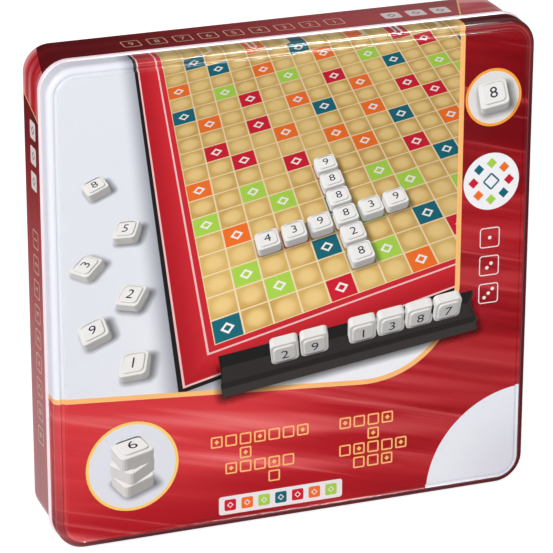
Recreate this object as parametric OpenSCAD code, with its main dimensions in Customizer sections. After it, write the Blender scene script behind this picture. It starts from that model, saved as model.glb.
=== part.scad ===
// Square slip-lid game tin, standing on its edge, with a folded mat, four racks and a hundred tiles inside.
// Every piece is drawn with the tin on its back: X across, Y up the face, Z from the back panel to the lid.
// stood_up() then turns it onto its lower edge, so the lid faces -Y and +Z is up.

/* [Tin] */
// Width and height of the tin across the lid skirt
tin_w = 250; // [244:1:300]
// Depth of the closed tin, back panel to lid face
tin_d = 45; // [43:1:60]
// Radius of the lid's four corners
corner_r = 14.5; // [12:0.5:24]
// Thickness of the tinplate
plate_t = 0.5; // [0.3:0.05:0.7]
// Depth of the closed lid, from its face down to the rim bead
lid_d = 11; // [9:0.5:16]
// Running clearance between the lid's hem and the neck
lid_fit = 0.1; // [0.05:0.05:0.4]
// Height of the folded hem inside the lid skirt
lid_hem_h = 3; // [2:0.5:5]
// Gap between the closed lid's edge and the bead it meets
lid_edge_gap = 0.3; // [0.1:0.1:1]

/* [Lid pressing] */
// Radius of the drawn shoulder between skirt and face
shoulder_r = 2.6; // [1.5:0.1:3]
// How far the shoulder lies below the picture panel
shoulder_drop = 0.4; // [0.1:0.1:0.8]
// Distance from the skirt to the middle of the pressed groove
groove_in = 4.3; // [4.2:0.1:7]
// Radius of the pressed groove
groove_r = 1.3; // [0.8:0.1:1.4]
// Depth of the pressed groove below the picture panel
groove_deep = 1.1; // [0.9:0.1:1.5]

/* [Base] */
// Outer radius of the rolled rim bead
bead_r = 1.9; // [1.2:0.1:2.5]
// How far the middle of the bead lies inside the wall's face
bead_sink = 0.1; // [0:0.05:0.4]
// Radius of the edge between side wall and back
back_r = 1; // [0.5:0.1:2]
// Width of the hem turned in over the back panel
back_hem_w = 3.5; // [2:0.5:8]
// Height of the folded hem inside the mouth
mouth_hem_h = 2.5; // [1.5:0.5:4]
// Gap between the mouth and the inside of the lid
mouth_gap = 1.4; // [1:0.1:3]
// Clearance between the back panel's flange and the wall
panel_fit = 0.1; // [0.05:0.05:0.3]
// Height of the back panel's turned-up flange
panel_flange_h = 4; // [2:0.5:8]
// Width of the flat border round the back panel's pressed field
panel_border = 14; // [8:1:30]
// Depth by which the field is pressed back out
panel_press = 0.4; // [0.1:0.05:0.4]

/* [Tray] */
// Thickness of the formed tray's sheet
tray_t = 0.8; // [0.5:0.1:1.2]
// Clearance between the tray and the mouth's hem
tray_fit = 0.3; // [0.1:0.1:1]
// Height of the tray
tray_h = 24; // [23:0.5:28]
// Corner radius of the tray's two bays
bay_r = 3; // [1:0.5:8]
// Clearance between a bay's walls and what lies in it
bay_gap = 0.4; // [0.3:0.1:1]
// Finger room left in the tile bay past the last tile
tile_finger = 9; // [6:1:14]
// Finger room left in the rack bay past the racks' ends
rack_finger = 12; // [6:1:24]

/* [Tiles] */
// Side of a tile
tile_w = 20; // [16:0.5:20.5]
// Thickness of a tile with its raised face
tile_t = 10; // [7:0.5:10]
// Corner radius of a tile
tile_r = 3; // [1:0.5:5]
// Width of the border round the raised face
tile_border = 2.2; // [1:0.2:4]
// Height of the raised face over the border
tile_step = 1.4; // [0.6:0.2:3]
// Gap between neighbouring tiles
tile_gap = 0.4; // [0.3:0.1:0.6]

/* [Racks] */
// Length of a rack
rack_l = 190; // [150:1:195]
// Depth of a rack, front to back
rack_w = 25; // [20:0.5:26]
// Height of a rack's leaning back
rack_h = 18; // [14:0.5:20]
// Height of the ledge that the tiles stand on
rack_ledge_h = 6; // [4:0.5:8]
// Height of the lip in front of the ledge
rack_lip_h = 9; // [9:0.5:12]
// Thickness of a rack's walls
rack_t = 2.4; // [1.6:0.2:3]

/* [Mat and booklet] */
// Side of the mat when it is laid out flat
mat_w = 420; // [360:1:440]
// Thickness of the mat
mat_t = 3; // [2:0.1:3.2]
// Gap between the folded layers
mat_gap = 0.3; // [0.2:0.1:0.5]
// Length of the rule booklet
book_l = 200; // [150:1:205]
// Width of the rule booklet
book_w = 140; // [100:1:180]
// Thickness of the rule booklet
book_t = 2; // [1:0.2:3]
// Thickness of its cover
book_cover_t = 0.4; // [0.2:0.1:0.5]
// How far the pages stand back from the cover's edges
book_page_in = 1; // [0.5:0.5:3]

/* [Hidden] */
// Numbers of tiles and racks
tile_cols = 5;
tile_rows = 10;
rack_n = 4;
$fn = 64;
eps = 0.01;

// Tin shell, from the lid's skirt inwards
wall_w = tin_w - 2 * (2 * plate_t + lid_fit);
wall_r = corner_r - (tin_w - wall_w) / 2;
bead_z = tin_d - lid_d - bead_r;
bead_w = wall_w + 2 * (bead_r - bead_sink);
mouth_z = tin_d - plate_t - mouth_gap;
lid_z = tin_d - lid_d + lid_edge_gap;
panel_w = wall_w - 2 * (plate_t + panel_fit);
panel_r = wall_r - plate_t - panel_fit;
panel_top = 2 * plate_t;
// Tray, which passes through the mouth's hem
tray_w = wall_w - 4 * plate_t - 2 * tray_fit;
tray_r = wall_r - 2 * plate_t - tray_fit;
tray_top = panel_top + tray_h;
bay_floor = panel_top + tray_t;
tile_pitch = tile_w + tile_gap;
tile_bay_w = tile_cols * tile_pitch - tile_gap + 2 * bay_gap;
tile_bay_l = tile_rows * tile_pitch - tile_gap + 2 * bay_gap + tile_finger;
rack_pitch = rack_w + bay_gap;
rack_bay_w = rack_n * rack_pitch + bay_gap;
rack_bay_l = rack_l + bay_r + rack_finger;
bay_margin = (tray_w - tile_bay_w - rack_bay_w) / 3;
rack_bay_x = -tray_w / 2 + bay_margin + rack_bay_w / 2;
tile_bay_x = tray_w / 2 - bay_margin - tile_bay_w / 2;
bay_top_y = max(tile_bay_l, rack_bay_l) / 2;
// Mat and booklet, one on the other over the tray
leaf_w = mat_w / 2;
pair_t = 2 * mat_t + mat_gap;
mat_stack_t = 2 * pair_t + mat_gap;
book_z = tray_top + mat_stack_t;
book_spine_r = book_t / 2;

// Stands the tin on its rim bead, with the middle of its depth over the origin
module stood_up() {
    translate([0, tin_d / 2, bead_w / 2]) rotate([90, 0, 0]) children();
}

// Rectangle with round corners, centred
module round_rect(w, l, r) {
    square([w, l - 2 * r], center = true);
    square([w - 2 * r, l], center = true);
    for (x = [-1, 1], y = [-1, 1]) translate([x * (w / 2 - r), y * (l / 2 - r)]) circle(r);
}

// Plain block with round corners, from z0 up to z1
module round_block(w, l, r, z0, z1) {
    translate([0, 0, z0]) linear_extrude(z1 - z0) round_rect(w, l, r);
}

// Solid with round corners whose edge section is the child: its X runs outwards from a corner's axis
module edged_square(w, r, z0, z1) {
    c = w / 2 - r;
    translate([-c, -c, z0]) cube([2 * c, 2 * c, z1 - z0]);
    for (i = [0:3]) rotate(90 * i) {
        translate([c, c, 0]) rotate_extrude(angle = 90) children();
        translate([c, c, 0]) rotate([90, 0, 0]) linear_extrude(2 * c) children();
    }
}

// Section of the base from its back edge to its mouth, with the rolled bead
module base_section() {
    square([wall_r - back_r, mouth_z]);
    translate([0, back_r]) square([wall_r, mouth_z - back_r]);
    translate([wall_r - back_r, back_r]) circle(back_r);
    translate([wall_r - bead_sink, bead_z]) circle(bead_r);
}

// Section of the space inside the base: the wall, the bead's hollow and the narrower mouth
module base_space_section() {
    translate([0, plate_t]) square([wall_r - plate_t, mouth_z - mouth_hem_h - plate_t]);
    translate([0, plate_t]) square([wall_r - 2 * plate_t, mouth_z]);
    translate([wall_r - bead_sink, bead_z]) circle(bead_r - plate_t);
}

module base_body() {
    color("firebrick") stood_up() difference() {
        edged_square(wall_w, wall_r, 0, mouth_z) base_section();
        edged_square(wall_w, wall_r, plate_t, plate_t + mouth_z) base_space_section();
        round_block(wall_w - 2 * back_hem_w, wall_w - 2 * back_hem_w, wall_r - back_hem_w,
                    -1, plate_t + 1);
    }
}

// Back panel, held behind the base's hem, with a turned-up flange and a field pressed back out
module back_panel() {
    field_w = panel_w - 2 * panel_border;
    field_r = max(panel_r - panel_border, back_r);
    color("silver") stood_up() difference() {
        union() {
            round_block(panel_w, panel_w, panel_r, plate_t, plate_t + panel_flange_h);
            round_block(field_w, field_w, field_r, plate_t - panel_press, 2 * plate_t);
        }
        difference() {
            round_block(panel_w - 2 * plate_t, panel_w - 2 * plate_t, panel_r - plate_t,
                        2 * plate_t - panel_press, 2 * plate_t + panel_flange_h);
            difference() {
                round_block(panel_w, panel_w, panel_r, 0, 2 * plate_t);
                round_block(field_w - 2 * plate_t, field_w - 2 * plate_t, max(field_r - plate_t, back_r / 2),
                            -1, tin_d);
            }
        }
    }
}

// Section of the lid's outer face, or of its inside when t is the plate's thickness
module lid_section(t) {
    face_z = tin_d - t;
    shoulder_z = face_z - shoulder_drop;
    arc_z = tin_d - shoulder_drop - shoulder_r;
    difference() {
        union() {
            translate([0, lid_z]) square([corner_r - t, arc_z - lid_z]);
            translate([0, lid_z]) square([corner_r - shoulder_r, shoulder_z - lid_z]);
            translate([corner_r - shoulder_r, arc_z]) circle(shoulder_r - t);
            translate([0, lid_z]) square([corner_r - groove_in, face_z - lid_z]);
        }
        translate([corner_r - groove_in, tin_d - groove_deep + groove_r]) circle(groove_r + t);
    }
}

module lid() {
    color("firebrick") stood_up() difference() {
        edged_square(tin_w, corner_r, lid_z, tin_d) lid_section(0);
        difference() {
            edged_square(tin_w, corner_r, lid_z, tin_d - plate_t) lid_section(plate_t);
            difference() {
                round_block(tin_w, tin_w, corner_r, lid_z - 1, lid_z + lid_hem_h);
                round_block(tin_w - 4 * plate_t, tin_w - 4 * plate_t, corner_r - 2 * plate_t,
                            lid_z - 2, lid_z + lid_hem_h + 1);
            }
        }
    }
}

// The two bays of the tray, each grown by g
module bays(g, z0, z1) {
    translate([rack_bay_x, bay_top_y - rack_bay_l / 2, 0])
        round_block(rack_bay_w + 2 * g, rack_bay_l + 2 * g, bay_r + g, z0, z1);
    translate([tile_bay_x, bay_top_y - tile_bay_l / 2, 0])
        round_block(tile_bay_w + 2 * g, tile_bay_l + 2 * g, bay_r + g, z0, z1);
}

module tray() {
    color("dimgray") stood_up() difference() {
        union() {
            difference() {
                round_block(tray_w, tray_w, tray_r, panel_top, tray_top);
                round_block(tray_w - 2 * tray_t, tray_w - 2 * tray_t, tray_r - tray_t,
                            panel_top - 1, tray_top - tray_t);
            }
            bays(tray_t, panel_top, tray_top);
        }
        bays(0, bay_floor, tray_top + 1);
    }
}

// One tile: a rounded square with a smaller raised face
module tile() {
    low_t = tile_t - tile_step;
    face_w = tile_w - 2 * tile_border;
    round_block(tile_w, tile_w, tile_r, 0, low_t);
    round_block(face_w, face_w, tile_r, low_t - eps, tile_t);
}

// Column i of the tile bay, in layer 0 on the bay's floor or layer 1 above it
module tile_column(i, layer) {
    x0 = tile_bay_x - tile_bay_w / 2 + bay_gap + tile_w / 2;
    y0 = bay_top_y - bay_gap - tile_w / 2;
    color("ivory") stood_up() for (j = [0:tile_rows - 1])
        translate([x0 + i * tile_pitch, y0 - j * tile_pitch, bay_floor + layer * tile_t]) tile();
}

module tiles_top_1() { tile_column(0, 1); }
module tiles_top_2() { tile_column(1, 1); }
module tiles_top_3() { tile_column(2, 1); }
module tiles_top_4() { tile_column(3, 1); }
module tiles_top_5() { tile_column(4, 1); }
module tiles_low_1() { tile_column(0, 0); }
module tiles_low_2() { tile_column(1, 0); }
module tiles_low_3() { tile_column(2, 0); }
module tiles_low_4() { tile_column(3, 0); }
module tiles_low_5() { tile_column(4, 0); }

// Section of a rack: two steps at the front, the ledge, the leaning back, and a hollow foot
module rack_section() {
    lip_w = 1.5 * rack_t;
    ledge_x = 2 * lip_w;
    top_x = rack_w - rack_t;
    difference() {
        polygon([[0, 0], [rack_w, 0], [rack_w, rack_h], [top_x, rack_h],
                 [top_x - rack_t, rack_ledge_h], [ledge_x, rack_ledge_h], [ledge_x, rack_lip_h],
                 [lip_w, rack_lip_h], [lip_w, rack_ledge_h - rack_t], [0, rack_ledge_h - rack_t]]);
        translate([rack_t, -1]) square([rack_w - 2 * rack_t, rack_ledge_h - rack_t + 1 - rack_t / 2]);
    }
}

// Rack i, counted from the left, lying on its foot in the rack bay
module rack(i) {
    x0 = rack_bay_x - rack_bay_w / 2 + bay_gap;
    y0 = bay_top_y - bay_r;
    color("black") stood_up()
        translate([x0 + i * rack_pitch, y0, bay_floor]) rotate([90, 0, 0]) linear_extrude(rack_l) rack_section();
}

module rack_1() { rack(0); }
module rack_2() { rack(1); }
module rack_3() { rack(2); }
module rack_4() { rack(3); }

// Half a ring round the origin, on the side of -X, from radius r0 to r1
module fold_ring(r0, r1) {
    intersection() {
        difference() {
            circle(r1);
            circle(r0);
        }
        translate([-2 * r1, -r1]) square([2 * r1, 2 * r1]);
    }
}

// Mat folded in half and then in half again: a first fold down its left side, a second along its top
module game_mat() {
    flat_w = leaf_w - pair_t / 2;
    flat_l = leaf_w - mat_stack_t / 2;
    color("saddlebrown") stood_up()
        translate([-flat_w / 2 + pair_t / 4, -flat_l / 2 - mat_stack_t / 4, tray_top]) {
            for (pair_z = [0, pair_t + mat_gap]) translate([0, 0, pair_z]) {
                for (z = [0, mat_t + mat_gap]) translate([0, 0, z]) cube([flat_w, flat_l, mat_t]);
                translate([0, flat_l, pair_t / 2]) rotate([90, 0, 0])
                    linear_extrude(flat_l) fold_ring(mat_gap / 2, pair_t / 2);
            }
            translate([0, flat_l, mat_stack_t / 2]) rotate([90, 0, 90]) linear_extrude(flat_w) mirror([1, 0]) {
                fold_ring(mat_gap / 2, mat_gap / 2 + mat_t);
                fold_ring(3 * mat_gap / 2 + mat_t, mat_stack_t / 2);
            }
        }
}

// Rule booklet with a round spine on its left, its pages set back from the cover
module rule_booklet() {
    color("white") stood_up() translate([-book_w / 2, -book_l / 2, book_z]) difference() {
        union() {
            translate([book_spine_r, 0, 0]) cube([book_w - book_spine_r, book_l, book_t]);
            translate([book_spine_r, 0, book_spine_r]) rotate([-90, 0, 0]) cylinder(book_l, r = book_spine_r);
        }
        for (y = [-1, book_l - book_page_in]) translate([-1, y, book_cover_t])
            cube([book_w + 2, book_page_in + 1, book_t - 2 * book_cover_t]);
        translate([book_w - book_page_in, -1, book_cover_t])
            cube([book_page_in + 1, book_l + 2, book_t - 2 * book_cover_t]);
    }
}

base_body();
back_panel();
lid();
tray();
game_mat();
rule_booklet();
rack_1();
rack_2();
rack_3();
rack_4();
tiles_top_1();
tiles_top_2();
tiles_top_3();
tiles_top_4();
tiles_top_5();
tiles_low_1();
tiles_low_2();
tiles_low_3();
tiles_low_4();
tiles_low_5();
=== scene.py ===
"""Dresses the square game tin: printed lid and base, formed tray, tiles, racks, folded mat and rule booklet."""
import math
import random

import bmesh
import bpy
from mathutils import Matrix, Vector


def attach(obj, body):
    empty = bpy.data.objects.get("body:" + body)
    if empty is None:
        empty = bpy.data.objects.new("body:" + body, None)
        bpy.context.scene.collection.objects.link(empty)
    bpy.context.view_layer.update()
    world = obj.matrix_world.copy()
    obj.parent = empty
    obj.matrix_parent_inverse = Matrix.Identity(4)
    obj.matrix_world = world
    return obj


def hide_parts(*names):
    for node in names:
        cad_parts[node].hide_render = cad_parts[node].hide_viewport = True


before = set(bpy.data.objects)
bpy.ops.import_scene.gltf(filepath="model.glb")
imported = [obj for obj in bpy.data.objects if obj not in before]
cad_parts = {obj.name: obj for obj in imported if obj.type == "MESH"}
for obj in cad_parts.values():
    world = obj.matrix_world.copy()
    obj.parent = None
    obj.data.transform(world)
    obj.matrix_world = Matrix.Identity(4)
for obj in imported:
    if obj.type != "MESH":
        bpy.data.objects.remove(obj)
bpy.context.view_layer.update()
MM = 0.001
chance = random.Random(11)

# Sizes of the tin, in millimetres, as in the solids. The tin is drawn lying on its back:
# X across, Y up its face, Z from the back to the lid.
TIN_W, TIN_D, CORNER_R, PLATE_T = 250, 45, 14.5, 0.5
LID_D, LID_EDGE_GAP, LID_HEM_H = 11, 0.3, 3
WALL_W = TIN_W - 2 * (2 * PLATE_T + 0.1)
WALL_R = CORNER_R - (TIN_W - WALL_W) / 2
BEAD_R, BEAD_SINK = 1.9, 0.1
BEAD_Z = TIN_D - LID_D - BEAD_R
MID_Z = WALL_W / 2 + BEAD_R - BEAD_SINK
MOUTH_Z = TIN_D - PLATE_T - 1.4
BACK_HEM_W = 3.5
PANEL_W = WALL_W - 2 * (PLATE_T + 0.1)
TRAY_T, TRAY_TOP, BAY_FLOOR, BAY_R = 0.8, 25, 1.8, 3
TRAY_W = WALL_W - 4 * PLATE_T - 0.6
BAY_TOP_Y = 106.7
RACK_BAY = (-58.0, 102.0, 205.0)
TILE_BAY = (57.8, 102.4, 213.4)
TILE_W, TILE_T, TILE_PITCH = 20, 10, 20.4
RACK_L, RACK_W, RACK_H, RACK_PITCH = 190, 25, 18, 25.4
MAT_W, MAT_T, MAT_GAP = 420, 3, 0.3
BOOK_L, BOOK_W, BOOK_T, BOOK_Z = 200, 140, 2, 37.9
INK_ROOM = 0.12
BAY_SLACK, SCATTER = 0.4, 0.08
BEVEL_FROM, SHARP_FROM = math.radians(30), math.radians(38)


def stood_up(x, y, z):
    """Turns a point of the tin on its back, in millimetres, into the frame's standing one."""
    return Vector((x, TIN_D / 2 - z, y + MID_Z)) * MM


class Shape:
    """A piece in the making: points in millimetres, and faces that each have a material number."""

    def __init__(self):
        self.points = []
        self.faces = []
        self.flat = {}

    def face(self, corners, number=0):
        self.faces.append((tuple(corners), number))

    def loft(self, rings, numbers=0, loop=False, caps=(True, True)):
        """Joins rings of equally many points, with a flat cap at each end unless they loop."""
        n, base, last = len(rings[0]), len(self.points), len(rings) - 1
        if not isinstance(numbers, list):
            numbers = [numbers] * len(rings)
        for one in rings:
            self.points += one
        for a in range(last + 1 if loop else last):
            b = (a + 1) % (last + 1)
            for i in range(n):
                j = (i + 1) % n
                self.face((base + a * n + i, base + a * n + j, base + b * n + j, base + b * n + i), numbers[a])
        if not loop and caps[0]:
            self.face(range(base + n - 1, base - 1, -1), numbers[0])
        if not loop and caps[1]:
            self.face(range(base + last * n, base + last * n + n), numbers[-1])
        return self

    def prism(self, section, y0, y1, number=0):
        """Draws a section of (x, z) points out along Y."""
        return self.loft([[(x, y, z) for x, z in section] for y in (y0, y1)], number)

    def add(self, other, move=(0, 0, 0), turn=0, number=None):
        """Adds another shape, turned about Z by an angle in degrees and then moved."""
        base = len(self.points)
        spots = placed([p[:2] for p in other.points], move, turn)
        self.points += [(*spot, p[2] + move[2]) for spot, p in zip(spots, other.points)]
        for corners, own in other.faces:
            self.face([i + base for i in corners], own if number is None else number)
        return self

    def fill(self, outlines):
        """Fills the flat area inside the first outline and outside the others."""
        work = bmesh.new()
        edges = []
        for outline in outlines:
            spots = [work.verts.new(p) for p in outline]
            edges += [work.edges.new((a, b)) for a, b in zip(spots, spots[1:] + spots[:1])]
        bmesh.ops.triangle_fill(work, edges=edges, use_beauty=True)
        work.verts.index_update()
        base = len(self.points)
        self.points += [tuple(v.co) for v in work.verts]
        for one in work.faces:
            self.face([base + v.index for v in one.verts])
        work.free()

    def piece(self, name, body, nodes, slot, materials, bevel=0):
        """Makes the mesh, smooth but for its sharp edges, and puts it in the scene."""
        mesh = bpy.data.meshes.new(name)
        mesh.from_pydata([stood_up(*p) for p in self.points], [], [c for c, _ in self.faces])
        for material in materials:
            mesh.materials.append(material)
        for polygon, (_, number) in zip(mesh.polygons, self.faces):
            polygon.material_index = number
        if self.flat:
            places = mesh.uv_layers.new(name="flat")
            for loop in mesh.loops:
                places.data[loop.index].uv = self.flat[loop.vertex_index]
        work = bmesh.new()
        work.from_mesh(mesh)
        bmesh.ops.recalc_face_normals(work, faces=work.faces)
        if bevel:
            edges = [e for e in work.edges if len(e.link_faces) == 2 and e.calc_face_angle() > BEVEL_FROM]
            bmesh.ops.bevel(work, geom=edges, offset=bevel * MM, segments=2, profile=0.6, affect="EDGES")
        for one in work.faces:
            one.smooth = True
        work.to_mesh(mesh)
        work.free()
        mesh.set_sharp_from_angle(angle=SHARP_FROM)
        return settled(name, mesh, body, nodes)


def stood(name, data):
    """A new object in the scene."""
    made = bpy.data.objects.new(name, data)
    bpy.context.scene.collection.objects.link(made)
    return made


def settled(name, mesh, body, nodes=()):
    """Puts a piece in the scene, on its body, in place of its nodes."""
    piece = stood(name, mesh)
    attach(piece, body)
    if nodes:
        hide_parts(*nodes)
    return piece


def ring(half, radius, z, steps=5, side_steps=1, half_y=None, at=(0, 0)):
    """Points of a rectangle with round corners, anticlockwise from its right side."""
    half_y = half if half_y is None else half_y
    corners = []
    for quarter, (sx, sy) in enumerate(((1, 1), (-1, 1), (-1, -1), (1, -1))):
        angles = [math.radians(90 * (quarter + i / steps)) for i in range(steps + 1)]
        corners.append([(at[0] + sx * (half - radius) + radius * math.cos(a),
                         at[1] + sy * (half_y - radius) + radius * math.sin(a), z) for a in angles])
    found = []
    for here, after in zip(corners, corners[1:] + corners[:1]):
        found += here
        a, b = Vector(here[-1]), Vector(after[0])
        found += [tuple(a.lerp(b, i / side_steps)) for i in range(1, side_steps)]
    return found


def circle(x, y, r, steps=48):
    return [(x + r * math.cos(2 * math.pi * i / steps), y + r * math.sin(2 * math.pi * i / steps))
            for i in range(steps)]


def placed(spots, at, turn=0, scale=1):
    """Flat points scaled, turned by an angle in degrees and moved."""
    c, s = scale * math.cos(math.radians(turn)), scale * math.sin(math.radians(turn))
    return [(at[0] + x * c - y * s, at[1] + x * s + y * c) for x, y in spots]


def arc(cx, cz, r, start, end, steps=8):
    """Points of an arc in a section, angles in degrees."""
    angles = [math.radians(start + (end - start) * i / steps) for i in range(steps + 1)]
    return [(cx + r * math.cos(a), cz + r * math.sin(a)) for a in angles]


def maths(operation):
    """A method that adds one Math node, for a value and what it is given."""
    return lambda self, other=None: self.math(operation, other)


def swapped(operation):
    """The same with the value in second place."""
    return lambda self, other: self.math(operation, first=other)


class Value:
    """A number in a shader, written as an expression: each operator adds one Math node."""

    def __init__(self, paint, socket):
        self.paint = paint
        self.socket = socket

    def math(self, operation, other=None, first=None):
        row = [first, self] if first is not None else [self] if other is None else [self, other]
        made = self.paint.node("ShaderNodeMath", {"operation": operation}, dict(enumerate(row)))
        return Value(self.paint, made.outputs[0])

    __add__ = __radd__ = maths("ADD")
    __mul__ = __rmul__ = maths("MULTIPLY")
    __sub__, __rsub__ = maths("SUBTRACT"), swapped("SUBTRACT")
    __truediv__, __rtruediv__ = maths("DIVIDE"), swapped("DIVIDE")
    __pow__, __rpow__ = maths("POWER"), swapped("POWER")
    __lt__, __gt__ = maths("LESS_THAN"), maths("GREATER_THAN")
    __abs__, floor, fraction = maths("ABSOLUTE"), maths("FLOOR"), maths("FRACT")
    least, most, wrap = maths("MINIMUM"), maths("MAXIMUM"), maths("FLOORED_MODULO")

    def __neg__(self):
        return self * -1

    def ramp(self, low, high, to_low=0, to_high=1):
        """Eases from to_low at low to to_high at high."""
        made = self.paint.node("ShaderNodeMapRange", {"interpolation_type": "SMOOTHSTEP"},
                               {"Value": self, "From Min": low, "From Max": high,
                                "To Min": to_low, "To Max": to_high})
        return Value(self.paint, made.outputs[0])


class Paint:
    """A material in the making, with one Principled shader and the expressions that feed it."""

    def __init__(self, name, **constants):
        self.material = bpy.data.materials.new(name)
        self.material.use_nodes = True
        self.tree = self.material.node_tree
        self.shader = self.tree.nodes["Principled BSDF"]
        self.object_place = self.node("ShaderNodeTexCoord").outputs["Object"]
        for socket, value in constants.items():
            self.shader.inputs[socket.replace("_", " ")].default_value = value

    def node(self, kind, settings=None, inputs=None):
        made = self.tree.nodes.new(kind)
        for name, value in (settings or {}).items():
            setattr(made, name, value)
        for name, value in (inputs or {}).items():
            self.plug(made.inputs[name], value)
        return made

    def plug(self, socket, value):
        if isinstance(value, Value):
            value = value.socket
        if isinstance(value, bpy.types.NodeSocket):
            self.tree.links.new(value, socket)
        elif isinstance(value, tuple) and socket.type == "RGBA":
            socket.default_value = (*value, 1)
        else:
            socket.default_value = value

    def parts(self, vector):
        made = self.node("ShaderNodeSeparateXYZ", inputs={0: vector})
        return [Value(self, socket) for socket in made.outputs]

    def place(self):
        """X across, Y up from the middle and Z out from the back of the tin, in millimetres."""
        x, y, z = (part / MM for part in self.parts(self.object_place))
        return x, z - MID_Z, TIN_D / 2 - y

    def point(self, x, y, z):
        return self.node("ShaderNodeCombineXYZ", inputs={0: x, 1: y, 2: z}).outputs[0]

    def noise(self, *at, scale=1, detail=2):
        """Noise over three values, or over the whole object."""
        at = self.point(*at) if at else self.object_place
        made = self.node("ShaderNodeTexNoise", inputs={"Vector": at, "Scale": scale, "Detail": detail})
        return Value(self, made.outputs[0])

    def chance(self, *at):
        """A random number from 0 to 1 for each place."""
        made = self.node("ShaderNodeTexWhiteNoise", {"noise_dimensions": "3D"}, {"Vector": self.point(*at)})
        return Value(self, made.outputs[0])

    def mix(self, mask, under, over):
        return self.node("ShaderNodeMix", {"data_type": "RGBA"}, {0: mask, 6: under, 7: over}).outputs[2]

    def layers(self, colour, *coats):
        """Lays (mask, colour) coats over a colour, one after the other."""
        for mask, coat in coats:
            colour = self.mix(mask, colour, coat)
        return colour

    def tint(self, colour, factor):
        """A colour times a number that varies."""
        return self.node("ShaderNodeVectorMath", {"operation": "SCALE"}, {0: colour, "Scale": factor}).outputs[0]

    def bump(self, height, depth, strength):
        made = self.node("ShaderNodeBump", inputs={"Strength": strength, "Distance": depth, "Height": height})
        self.feed(Normal=made.outputs[0])

    def feed(self, **sockets):
        for name, value in sockets.items():
            self.plug(self.shader.inputs[name.replace("_", " ")], value)


# Inks of the print
# Dark red of the lid's rolled rim on its right and lower edge: partly print, partly painted shade where that edge
# turns away from the light.
RIM_INK_AND_SHADE = (0.10, 0.008, 0.012)
RED_DEEP = (0.17, 0.004, 0.007)
RED_MID = (0.42, 0.008, 0.015)
RED_LIGHT = (0.66, 0.042, 0.050)
RED_GLOW = (0.86, 0.20, 0.20)
ORANGE = (0.95, 0.50, 0.18)
GOLD = (0.56, 0.34, 0.09)
GOLD_PALE = (0.68, 0.45, 0.14)
GOLD_SHINE = (0.80, 0.57, 0.23)
GOLD_LINE = (0.82, 0.66, 0.42)
COOL_WHITE = (0.79, 0.81, 0.86)
PALE_PINK = (0.84, 0.50, 0.50)
PIP_WHITE = (0.84, 0.76, 0.76)
STRIP_WHITE = (0.80, 0.78, 0.80)
RUST_LINE = (0.80, 0.50, 0.36)
CREAM = (0.86, 0.84, 0.81)
SLATE = (0.020, 0.022, 0.045)
BLACK = (0.012, 0.010, 0.010)
BONUS_INKS = ((0.60, 0.012, 0.03), (0.85, 0.16, 0.02), (0.38, 0.62, 0.07), (0.008, 0.13, 0.17))

# The lid's window, from its middle
WINDOW_RIGHT, WINDOW_LOW, WINDOW_ROUND, WINDOW_SLANT = 86, -54, 52, 0.08
LINE_W = 2.6
PALE_CORNER_R = 54


def distance(across, up):
    return (across ** 2 + up ** 2) ** 0.5


def satin_red(paint, x, y):
    """Red ink with long soft streaks that fall to the right, lightest at the lower left."""
    fall = y + x * 0.2
    long_streaks = paint.noise(x / 300 + 3, 0, fall / 20)
    wide_glow = paint.noise(x / 130 + 8, 2, fall / 60, detail=1)
    fine_streaks = paint.noise(x / 200, 5, (y + x * 0.3) / 5)
    streaks = (long_streaks.ramp(0.35, 0.7) * 0.5 + wide_glow.ramp(0.35, 0.7) * 0.3
               + fine_streaks.ramp(0.4, 0.8) * 0.2)
    far = distance((x + 100) / 190, (y + 70) / 70)
    light = far.ramp(0.25, 1.1, 1, 0.34) + far.ramp(1.1, 2.7, 0, -0.12) + (streaks - 0.45) * 0.55
    glow = (long_streaks * 0.75 + fine_streaks * 0.25).ramp(0.48, 0.66) * far.ramp(1.1, 0.3, 0.12, 0.8)
    return paint.layers(RED_DEEP, (light.ramp(0, 0.5), RED_MID), (light.ramp(0.5, 1.0), RED_LIGHT),
                        (glow + fine_streaks.ramp(0.62, 0.72, 0, 0.18), RED_GLOW))


def board_cells(paint, u, v):
    """Gold cells with pale lines, and bonus cells with a diamond. u and v count cells."""
    across, up = abs(u.fraction() - 0.5), abs(v.fraction() - 0.5)
    column, row = u.floor(), v.floor()
    luck = paint.chance(column, row, 2)
    gold = paint.layers(GOLD, (paint.noise(u, v, 1, scale=0.35).ramp(0.3, 0.7), GOLD_PALE),
                        ((across ** 2 + up ** 2).ramp(0.22, 0), GOLD_SHINE))
    shares = zip((0.3, 0.55, 0.8), BONUS_INKS[1:])
    bonus = paint.layers(BONUS_INKS[0], *((luck > share, ink) for share, ink in shares),
                         (abs(across + up - 0.19) < 0.055, (0.85, 0.82, 0.78)))
    return paint.layers(gold, ((column * 2 + row * 3).wrap(7) < 1.5, bonus), (across.most(up) > 0.47, GOLD_LINE))


def varnished(name):
    """Printed tinplate: ink under a clear varnish."""
    return Paint(name, Roughness=0.45, Specular_IOR_Level=0, Coat_Weight=0.15, Coat_Roughness=0.04)


def from_edge(x, y):
    """How far a point of the lid lies in from its skirt."""
    straight = TIN_W / 2 - CORNER_R
    return CORNER_R - distance((abs(x) - straight).most(0), (abs(y) - straight).most(0))


def lid_gloss(x, y, z):
    """The varnish shines on the stamped edge's upper and left side, on a line round it and at the skirt's foot."""
    inset = from_edge(x, y)
    side = y.ramp(60, 118, 0.1, 0.5).most((-x).ramp(90, 118, 0.1, 0.6))
    stamped = inset.ramp(5.2, 6.4, 1, 0) * z.ramp(TIN_D - 4, TIN_D - 2.4)
    line = abs(inset - 2.9).ramp(0.15, 0.4, 0.85, 0) * stamped * (x + y).ramp(-235, -205, 0.1, 1)
    skirt = z.ramp(TIN_D - LID_D + 0.5, TIN_D - LID_D + 4.5, 0.6, 0.12) * (x + y * 0.5).ramp(90, 170, 1, 0.3)
    return ((stamped * side + skirt) * x.ramp(90, 120, 1, 0.45) + line).least(1)


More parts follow.
